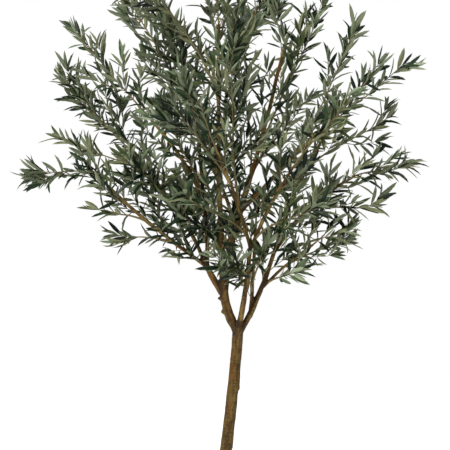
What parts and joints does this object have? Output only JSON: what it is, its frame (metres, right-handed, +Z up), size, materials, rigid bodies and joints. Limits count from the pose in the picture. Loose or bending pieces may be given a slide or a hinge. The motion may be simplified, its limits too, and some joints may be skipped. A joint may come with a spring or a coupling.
{
  "type": "olive tree",
  "caption": "Young olive tree on a slim leaning stem, forking low into rising boughs that carry open plumes of narrow grey-green leaves.",
  "frame": {"origin": "centre of the flat cut under the trunk, at ground level", "axes": "+Z up along the height, +X towards the viewer's right, -Y towards the front"},
  "size_m": [1.3828, 1.0098, 1.9909],
  "materials": {
    "bark": "matte",
    "foliage": "matte"
  },
  "bodies": {
    "root": {"trunk": "bark", "bough_left": "bark", "bough_middle": "bark", "bough_right": "bark", "bough_left_fan": "bark", "bough_centre": "bark", "bough_back": "bark", "bough_left_low": "bark", "bough_left_mid": "bark", "bough_left_high": "bark", "bough_left_out": "bark", "bough_centre_right": "bark", "bough_right_high": "bark", "bough_right_inner": "bark", "bough_right_low": "bark", "bough_right_mid": "bark", "bough_right_up": "bark", "bough_front_right": "bark", "bough_front_left": "bark", "bough_back_left": "bark", "bough_back_right": "bark", "leaves_left_low_tip": "foliage", "leaves_left_low_under": "foliage", "leaves_left_low_foot": "foliage", "leaves_left_mid_tip": "foliage", "leaves_left_mid_up": "foliage", "leaves_left_mid_front": "foliage", "leaves_left_high_out": "foliage", "leaves_left_high_up": "foliage", "leaves_left_high_front": "foliage", "leaves_left_high_foot": "foliage", "leaves_centre_left": "foliage", "leaves_centre_top": "foliage", "leaves_centre_front": "foliage", "leaves_centre_low": "foliage", "leaves_centre_right_top": "foliage", "leaves_centre_right_out": "foliage", "leaves_centre_right_low": "foliage", "leaves_right_high_tip": "foliage", "leaves_right_high_up": "foliage", "leaves_right_low_tip": "foliage", "leaves_right_low_under": "foliage", "leaves_right_foot": "foliage", "leaves_right_mid_tip": "foliage", "leaves_right_mid_low": "foliage", "leaves_right_up_tip": "foliage", "leaves_right_up_back": "foliage", "leaves_right_up_foot": "foliage", "leaves_front_right_tip": "foliage", "leaves_front_right_low": "foliage", "leaves_front_left_tip": "foliage", "leaves_front_up": "foliage", "leaves_front_left_low": "foliage", "leaves_front_foot": "foliage", "leaves_back_left_tip": "foliage", "leaves_back_up": "foliage", "leaves_back_left_low": "foliage", "leaves_back_right_tip": "foliage", "leaves_back_right_low": "foliage", "leaves_back_foot": "foliage"}
  },
  "joints": []
}
